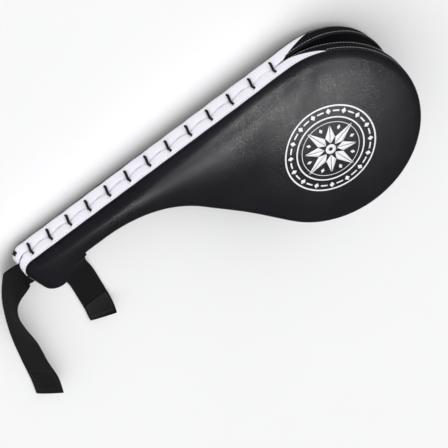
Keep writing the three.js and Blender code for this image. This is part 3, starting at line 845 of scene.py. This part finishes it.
def make_band(name, side, s, bottom, top, rows, material):
    """A strip of the side wall between two heights, with its long edges turned in."""
    share = np.linspace(0, 1, rows)
    ease = (1 - np.cos(math.pi * share)) / 2
    z = (bottom[:, None] + (top - bottom)[:, None] * ease).ravel()
    wall = wall_points(np.repeat(s, rows), z, side).reshape(len(s), rows, 3)
    inwards = raised(-OUTLINE.normal(s), 0)
    low_lip = wall[:, 0] + 0.0012 * inwards + (0, 0, 0.0003)
    high_lip = wall[:, -1] + 0.0010 * inwards - (0, 0, 0.0003)
    points = np.concatenate([low_lip[:, None], wall, high_lip[:, None]], axis=1).reshape(-1, 3)
    faces = outward(flipped(grid_faces(len(s), rows + 2)), side)
    rest = np.column_stack([np.repeat(s, rows + 2), points[:, 2], np.full(len(points), 0.3 * side)])
    # Colour shift along the band's long edges and lips: rubbed wear with painted edge light, lighter on the
    # black bands and darker on the white ones.
    rubbed_and_painted_edge_light = 0.9 * (hump(share, 0, 0.12) + hump(share, 1, 0.12))
    return make_skin(name, side, points, faces, material, rest, np.tile([0.4, *rubbed_and_painted_edge_light, 0.4], len(s)))


def make_white_band(side):
    steps = int((WHITE_END_S - WHITE_TIP_S) / 0.0008)
    s = np.linspace(WHITE_TIP_S, WHITE_END_S, steps)
    laced = laced_share(s)
    bottom = laced * (side * meeting_line(s) + MEETING_GAP) + (1 - laced) * tail_edge(s)
    top = np.maximum(BAND_TOP, bottom + 0.0001)
    return make_band("white_band", side, s, bottom, top, 24, WHITE_LEATHER)


def make_black_band(side):
    end = OUTLINE.length
    s = np.linspace(WHITE_END_S - 0.002, end, int((end - WHITE_END_S) / 0.0016))
    top = np.minimum(BAND_TOP, np.where(s > end + WHITE_TIP_S, tail_edge(s - end) - 0.0001, BAND_TOP))
    bottom = np.full(len(s), HALF_GAP)
    top = np.maximum(top, bottom + 0.0001)
    return make_band("black_band", side, s, bottom, top, 14, BAND_LEATHER)


# ---- seams

WELT_RADIUS = 0.0006
SEAM_PITCH = 0.0032
SEAM_STITCH = 0.0021
THREAD_RADIUS = 0.00024
ROW_INSET = 0.0017


def make_welt(name, side, s, height, out):
    """The thin rolled edge that stands up along a seam."""
    path = raised(OUTLINE.at(s) + out * OUTLINE.normal(s), height)
    vertices, faces = tube(leaf_to_row(path, side), WELT_RADIUS)
    # The welt's colour is shifted nearly all the way: rubbed wear and a painted highlight along the raised
    # edge.
    return make_object(f"{SIDE_NAMES[side]}_{name}", vertices, faces, BAND_LEATHER,
                       wear_and_painted_edge_light=np.full(len(vertices), 0.9))


def make_thread(name, side, centres, height, material):
    """A row of machine stitches on the side wall. Each dips into the leather at both ends."""
    t = np.linspace(-1, 1, 7)
    rise = THREAD_RADIUS * (1.1 - 2.6 * t ** 4)
    parts = []
    for centre in centres:
        points = wall_points(centre + t * SEAM_STITCH / 2, np.full(len(t), height), side, rise)
        parts.append(tube(leaf_to_row(points, side), THREAD_RADIUS, 6))
    return make_object(f"{SIDE_NAMES[side]}_{name}", *joined(parts), material)


def make_seams(side):
    """Welts and stitches round the outer and the inner edge of the side wall."""
    black_s, black_end = WHITE_END_S + 0.004, OUTLINE.length
    whole = np.linspace(0, black_end, int(black_end / 0.0014) + 1)
    blade = np.linspace(black_s, black_end - 0.001, 520)
    black = np.arange(black_s, black_end + WHITE_TIP_S, SEAM_PITCH)
    white = np.arange(WHITE_TIP_S + 0.010, WHITE_END_S - 0.001, SEAM_PITCH)
    inner = np.arange(black_s, black_end - 0.004, SEAM_PITCH)
    outer_row, inner_row = SEAM_HEIGHT - ROW_INSET, HALF_GAP + ROW_INSET
    return [
        make_welt("outer_welt", side, whole, SEAM_HEIGHT, 0.0001),
        make_welt("inner_welt", side, blade, HALF_GAP + 0.0001, -0.0004),
        make_thread("outer_stitching", side, black, outer_row, SEAM_THREAD),
        make_thread("white_stitching", side, white, outer_row, WHITE_THREAD),
        make_thread("inner_stitching", side, inner, inner_row, SEAM_THREAD),
    ]


# ---- lacing

STRANDS = 3
TWIST_PITCH = 0.0052
KNOT_SIZE = np.array([0.00062, 0.0009, 0.00072])
KNOT_OUT = 0.0012


def twisted_cord(path):
    """A cord of strands that wind round the path."""
    along = run_lengths(path)
    ahead = unit(np.gradient(path, axis=0))
    side = unit(np.cross(ahead, unit(np.array([0.3, 0.2, 1.0]))))
    up = np.cross(side, ahead)
    parts = []
    for k in range(STRANDS):
        angle = 2 * math.pi * (along / TWIST_PITCH + k / STRANDS)
        wound = np.cos(angle)[:, None] * side + np.sin(angle)[:, None] * up
        parts.append(tube(path + 0.52 * LACE_RADIUS * wound, 0.53 * LACE_RADIUS, 7))
    return joined(parts)


def stitch_path(x0):
    """One stitch over the meeting line, from its hole in the rear band to its hole in the front."""
    t = np.linspace(-1, 1, 33)
    z = STITCH_REACH * np.clip(t, -0.97, 0.97)
    hook = 0.0016 * smooth_step((t - 0.45) / 0.5) - 0.0009 * smooth_step((-t - 0.6) / 0.4)
    x = x0 - STITCH_SLANT * t + hook
    front, rear = (wall_offset(-x, np.abs(z), side) for side in (FRONT, REAR))
    surface = np.where(z > 0, front, rear)
    bridge = np.maximum(surface, 0.0011 * np.cos(math.pi * t / 2) ** 0.5)
    dive = 0.0021 * smooth_step((np.abs(t) - 0.80) / 0.2)
    y = BLADE_RADIUS + bridge + LACE_RADIUS * 0.78 - dive
    return np.column_stack([x, y, z])


def knot_path():
    """A trefoil knot, out from the middle of the butt's corner."""
    t = np.linspace(0, 2 * math.pi, 90)
    loop = np.column_stack([np.sin(t) + 2 * np.sin(2 * t), -np.sin(3 * t), np.cos(t) - 2 * np.cos(2 * t)])
    reach = BUTT_CORNER + KNOT_OUT
    centre = np.array([BUTT_X + BUTT_CORNER - reach * math.sin(KNOT_TURN),
                       BLADE_RADIUS - BUTT_CORNER + reach * math.cos(KNOT_TURN), KNOT_Z])
    return centre + loop * KNOT_SIZE


def make_lacing():
    shapes = [(f"{i + 1:02d}", f"lace_stitch_{i + 1:02d}", twisted_cord(paddle_to_row(stitch_path(x0))))
              for i, x0 in enumerate(STITCH_X)]
    shapes.append(("knot", "lace_end_knot", tube(paddle_to_row(knot_path()), 0.0009)))
    for name, node, (vertices, faces) in shapes:
        piece = make_object(f"lacing_{name}", vertices, faces, LACE)
        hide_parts(node)
        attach(piece, "grip")


# ---- wrist strap

LIFT = 0.03775
TABLE_ORIGIN = ORIGIN - (0, 0, LIFT)
# Where the middle of the webbing runs over the floor, and its roll in degrees, as in the CAD
# model: (x, y, z, roll), with the blade's centre above x = 0, y = 0.
LONG_TAIL = [
    (-0.3066, 0.0710, 0.0237, 5.3), (-0.3123, 0.0712, 0.0232, 20), (-0.3179, 0.0667, 0.0210, 54),
    (-0.3240, 0.0585, 0.0178, 77), (-0.3303, 0.0470, 0.0152, 86), (-0.3351, 0.0323, 0.0140, 84),
    (-0.3380, 0.0116, 0.0132, 72), (-0.3399, -0.0162, 0.0116, 55), (-0.3422, -0.0460, 0.0106, 48),
    (-0.3437, -0.0761, 0.0096, 39), (-0.3472, -0.0969, 0.0096, 41),
]
SHORT_TAIL = [
    (-0.2630, 0.0464, 0.02695, 0), (-0.2630, 0.0452, 0.0270, 0), (-0.2630, 0.0422, 0.0250, 0),
    (-0.2630, 0.0365, 0.0185, 0), (-0.2630, 0.0250, 0.0096, 0), (-0.2630, 0.0120, 0.0034, 0),
    (-0.2613, -0.0060, 0.0012, 0), (-0.2616, -0.0331, 0.0015, 0), (-0.2621, -0.0472, 0.0030, 8),
    (-0.2647, -0.0590, 0.0087, 35),
]
ROOT_LENGTH = 0.010
LIFT_START = -0.004
PATCH_SHARE = (0.8, 0.975)
BOX_MARGIN = 0.0016
BOX_PITCH = 0.0026


class Strap:
    """A flat band along a smooth run of stations, by its length from the first one."""

    def __init__(self, stations, seed):
        stations = np.array(stations, float)
        before, after = 2 * stations[0] - stations[1], 2 * stations[-1] - stations[-2]
        run = np.vstack([before, stations, after])
        dense = []
        for i in range(1, len(run) - 2):
            p0, p1, p2, p3 = run[i - 1:i + 3]
            t = np.linspace(0, 1, 40, endpoint=i == len(run) - 3)[:, None]
            dense.append(0.5 * (2 * p1 + (p2 - p0) * t + (2 * p0 - 5 * p1 + 4 * p2 - p3) * t * t
                                + (3 * p1 - p0 - 3 * p2 + p3) * t ** 3))
        self.path = np.concatenate(dense)
        self.lead = unit(self.path[1, :3] - self.path[0, :3])
        self.along = run_lengths(self.path[:, :3])
        self.length = self.along[-1]
        self.seed = seed

    def frame(self, s):
        """The middle of the band, the direction to its outer edge and its upright, at each length.
        Lengths below 0 are the root, which is straight."""
        *middle, roll = (np.interp(s, self.along, self.path[:, k]) for k in range(4))
        middle = np.column_stack(middle) - np.clip(-s, 0, None)[:, None] * self.lead
        roll = np.radians(roll)[:, None]
        ahead = unit(np.gradient(middle, axis=0))
        out = unit(np.cross(ahead, (0, 0, 1.0)))
        turned = out * np.cos(roll) - np.cross(out, ahead) * np.sin(roll)
        return middle, turned, np.cross(turned, ahead)

    def ripple(self, s, u):
        """The slight unevenness of worn webbing."""
        slow = 0.00025 * np.sin(s / 0.013 + self.seed) * np.sin(u / 0.006 + 2 * self.seed)
        return slow * smooth_step(s / 0.02)

    def piece(self, name, s, width, thickness, material, lift=0.0, edge_power=6):
        """A closed band with soft edges, woven along the strap."""
        middle, out, up = (axis[:, None] for axis in self.frame(s))
        share = -np.cos(np.linspace(0, math.pi, 15))
        half = np.sqrt(np.clip(1 - np.abs(share) ** edge_power, 0, 1)) * 0.8 + 0.2
        u = np.concatenate([share, share[::-1]]) * width / 2
        v = np.concatenate([half, -half[::-1]]) * thickness / 2
        rise = v + lift + self.ripple(s[:, None], u)
        vertices = (middle + u[:, None] * out + rise[:, :, None] * up).reshape(-1, 3)
        uvs = np.column_stack([np.tile(u, len(s)), np.repeat(s, len(u))])
        return make_object(name, vertices + TABLE_ORIGIN, closed_band(len(s), len(u)), material,
                           raised(uvs, 0), uvs)


def patch_stitching(name, strap, start, end, above):
    """The box of machine stitches that holds a patch on its strap, seen on both faces."""
    half = PATCH_WIDTH / 2 - BOX_MARGIN
    first, last = start + BOX_MARGIN, end - BOX_MARGIN
    corners = [(first, half), (last, half), (last, -half), (first, -half), (first, half)]
    dip = 0.0003 * np.linspace(-1, 1, 5) ** 4
    parts = []
    for (s0, u0), (s1, u1) in zip(corners, corners[1:]):
        count = round(math.hypot(s1 - s0, u1 - u0) / BOX_PITCH)
        for k in range(count):
            t = np.linspace(k + 0.15, k + 0.85, 5) / count
            s, u = s0 + (s1 - s0) * t, u0 + (u1 - u0) * t
            fine = np.linspace(s.min() - 0.001, s.max() + 0.001, 9)
            middle, out, up = (np.column_stack([np.interp(s, fine, axis[:, n]) for n in range(3)])
                               for axis in strap.frame(fine))
            for face in (above, -above):
                depth = WEBBING / 2 + (PATCH if face == above else 0.0)
                rise = face * (depth + 0.00008 - dip) + strap.ripple(s, u)
                path = middle + u[:, None] * out + rise[:, None] * up
                parts.append(tube(path + TABLE_ORIGIN, 0.00022, 5))
    return make_object(name, *joined(parts), DARK_THREAD)


# ---- round print on the blades

PRINT_THICKNESS = 0.00010
PRINT_ABOVE, PRINT_BELOW = 0.040, 0.015
BAND_INNER = 0.0345
STAR_TIPS = (0.0315, 0.0255)
STAR_NOTCH = 0.0135
STAR_NOTCH_ANGLE = math.pi / 8.6
STAR_HUB = 0.0062
STAR_SLIT = 0.014


def spoke(angle):
    return np.stack([np.cos(angle), np.sin(angle)], axis=-1)


def strip(inner, outer):
    """A flat strip between two runs of points."""
    vertices = np.stack([inner, (inner + outer) / 2, outer], axis=1).reshape(-1, 2)
    return vertices, grid_faces(len(inner), 3)


def ring(inner, outer, start=0.0, end=2 * math.pi):
    out = spoke(np.linspace(start, end, max(3, int((end - start) * outer / 0.0012))))
    return strip(out * inner, out * outer)


def star_point(angle, tip, sign):
    """Half of a star's point: from its middle line out to one edge."""
    middle = spoke(angle)
    corner = STAR_NOTCH * spoke(angle + sign * STAR_NOTCH_ANGLE)
    t = np.linspace(0, 1, 16)[:, None]
    spine = (STAR_HUB + (tip - STAR_HUB) * t) * middle
    edge = corner + (tip * middle - corner) * t
    return strip(edge, spine) if sign > 0 else strip(spine, edge)


def diamond(radius, angle, long, wide):
    t = np.linspace(-1, 1, 7)[:, None]
    middle = (radius + t * long) * spoke(angle)
    width = wide * (1 - np.abs(t)) * spoke(angle + math.pi / 2)
    return strip(middle - width, middle + width)


def print_shapes():
    """A plain target mark: rings, a band of diamonds and dashes, and an eight-pointed star."""
    shapes = [ring(PRINT_RADIUS - 0.0016, PRINT_RADIUS), ring(BAND_INNER - 0.0015, BAND_INNER),
              ring(0.0285, 0.0291)]
    middle = (PRINT_RADIUS + BAND_INNER) / 2
    for k in range(16):
        angle = math.pi * k / 8
        between = angle + math.pi / 16
        shapes.append(diamond(middle, angle, 0.0030, 0.0026))
        shapes.append(ring(middle - 0.0008, middle + 0.0008, between - 0.085, between + 0.085))
    for k in range(8):
        angle = math.pi * (k + 0.5) / 4
        for sign in (1, -1):
            shapes.append(star_point(angle + sign * STAR_SLIT, STAR_TIPS[k % 2], sign))
        shapes.append(diamond(0.0235, angle + math.pi / 8, 0.0026, 0.0018))
    shapes.append(ring(0.0020, 0.0052))
    return shapes


def make_print(side, cover):
    """Lays the mark on the final leather, so that it follows every dent."""
    vertices, faces = joined(print_shapes())
    if side == REAR:
        vertices, faces = vertices * (1, -1), flipped(faces)
    flat = vertices + PRINT_CENTRE
    high, low = (leaf_to_row(raised(flat, height), side) for height in (PRINT_ABOVE, PRINT_BELOW))
    down = unit(low - high)
    skin = cover.data
    tree = BVHTree.FromPolygons([v.co for v in skin.vertices], [p.vertices for p in skin.polygons])
    landed = np.array([tree.ray_cast(Vector(a), Vector(d))[0] for a, d in zip(high, down)])
    piece = make_object(f"{SIDE_NAMES[side]}_print", landed - PRINT_THICKNESS * down,
                        outward(faces, side), PRINT_INK, raised(flat, 0))
    thicken(piece, PRINT_THICKNESS * 1.5)
    return piece


# ---- assembly


def follow_leaf(piece):
    """Bakes a piece's placement into its mesh."""
    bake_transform(piece)


LEAF_SKINS = (
    (make_cover, "black_leather", ("blade_cover", "blade_pad", "grip_cover", "grip_pad", "knob_pad")),
    (make_lining, "black_leather", ("blade_inner_cover", "blade_inner_pad", "blade_board",
                                    "grip_inner_cover", "grip_inner_pad", "grip_board")),
    (make_white_band, "white_leather", ("blade_white_tail", "grip_white_band")),
    (make_black_band, "black_leather", ("blade_side_band", "grip_side_band")),
)


def build_leaf(side):
    skins = []
    for make, slot, nodes in LEAF_SKINS:
        skin = make(side)
        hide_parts(*(f"{SIDE_NAMES[side]}_{node}" for node in nodes))
        skins.append(skin)
    cover = skins[0]
    for piece in (*skins, make_print(side, cover), *make_seams(side)):
        follow_leaf(piece)


def build_strap(name, tape, stations, seed, above, material, reach):
    """One end of the wrist strap, with a patch above (1) or below (-1) it. The points at its root and at
    reach along it are worked out, but not used."""
    strap = Strap(stations, seed)
    whole = np.linspace(-ROOT_LENGTH, strap.length, int((strap.length + ROOT_LENGTH) / 0.0012))
    webbing = strap.piece(f"{name}_webbing", whole, WEBBING_WIDTH, WEBBING, WEBBING_CLOTH)
    start, end = (share * strap.length for share in PATCH_SHARE)
    patch = strap.piece(f"{tape}_tape", np.linspace(start, end, int((end - start) / 0.0008)), PATCH_WIDTH,
                        PATCH, material, lift=above * (WEBBING + PATCH) / 2, edge_power=10)
    stitching = patch_stitching(f"{tape}_stitching", strap, start, end, above)
    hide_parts(f"{name}_strap")
    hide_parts(f"{tape}_patch")
    start, end = strap.frame(np.array([LIFT_START, reach, reach + 0.001]))[0][:2] + TABLE_ORIGIN
    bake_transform(webbing)
    for piece in (patch, stitching):
        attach(piece, f"{name}_tail")


build_leaf(FRONT)
build_leaf(REAR)
make_lacing()
build_strap("long", "hook", LONG_TAIL, 0.4, -1, HOOK_TAPE, 0.022)
build_strap("short", "loop", SHORT_TAIL, 1.9, 1, LOOP_TAPE, 0.010)
anchor = frame["nodes"]["strap_anchor"]
anchor.data.materials.clear()
anchor.data.materials.append(WEBBING_CLOTH)

# ---- floor, light and camera

AIM = Vector(TABLE_ORIGIN + (-0.1265, -0.0246, 0.040))
DISTANCE = 3.350
AZIMUTH = math.radians(-170.57)
ELEVATION = math.radians(41.10)
ROLL = math.radians(135.90)
LENS = 288.1


def make_floor():
    bpy.ops.mesh.primitive_plane_add(size=12)
    floor = bpy.context.object
    floor.name = "floor"
    floor.visible_glossy = False
    floor.data.materials.append(floor_material("floor"))


def add_lamp(name, kind, place, settings, target=AIM, along=(1, 0, 0), diffuse=True, glossy=True):
    """A lamp that looks at a target, with its length along a direction."""
    data = bpy.data.lights.new(name, kind)
    for key, value in settings.items():
        setattr(data, key, value)
    back = (Vector(place) - Vector(target)).normalized()
    side = (Vector(along) - back * back.dot(Vector(along))).normalized()
    turn = Matrix((side, back.cross(side), back)).transposed()
    lamp = bpy.data.objects.new(name, data)
    lamp.matrix_world = Matrix.Translation(place) @ turn.to_4x4()
    lamp.visible_diffuse = diffuse
    lamp.visible_glossy = glossy
    bpy.context.scene.collection.objects.link(lamp)


def make_camera():
    data = bpy.data.cameras.new("camera")
    data.lens = LENS
    data.clip_end = 50
    camera = bpy.data.objects.new("camera", data)
    back = Vector((math.sin(AZIMUTH) * math.cos(ELEVATION), -math.cos(AZIMUTH) * math.cos(ELEVATION),
                   math.sin(ELEVATION)))
    turn = (-back).to_track_quat("-Z", "Y").to_matrix() @ Matrix.Rotation(ROLL, 3, "Z")
    camera.matrix_world = Matrix.Translation(AIM + back * DISTANCE) @ turn.to_4x4()
    bpy.context.scene.collection.objects.link(camera)
    bpy.context.scene.camera = camera


def make_world():
    """Even light for the floor, and a studio that is brighter overhead than at the horizon."""
    world = bpy.data.worlds.new("studio")
    world.use_nodes = True
    nodes, links = world.node_tree.nodes, world.node_tree.links
    split = nodes.new("ShaderNodeSeparateXYZ")
    links.new(nodes.new("ShaderNodeTexCoord").outputs["Generated"], split.inputs["Vector"])
    rise = nodes.new("ShaderNodeMapRange")
    rise.inputs["From Min"].default_value = -0.1
    rise.inputs["To Min"].default_value = 0.06
    rise.inputs["To Max"].default_value = 0.30
    links.new(split.outputs["Z"], rise.inputs["Value"])
    links.new(rise.outputs["Result"], nodes["Background"].inputs["Strength"])
    nodes["Background"].inputs["Color"].default_value = (0.97, 0.98, 1.0, 1)
    bpy.context.scene.world = world


make_floor()
# Light as even as a bright ceiling's, and the sheen of a small lamp whose grid keeps it to a beam.
add_lamp("ceiling", "SUN", (-0.45, 1.5, 2.0), {"energy": 3.6, "angle": math.radians(130)}, glossy=False)
add_lamp("sheen", "AREA", (0.24, -0.40, 3.0),
         {"shape": "ELLIPSE", "size": 0.34, "size_y": 0.20, "energy": 0.092, "spread": math.radians(7)},
         target=(0.114, 0.036, 0.050), along=(0.87, -0.5, 0), diffuse=False)
make_world()
bpy.context.scene.view_settings.view_transform = "Standard"
make_camera()
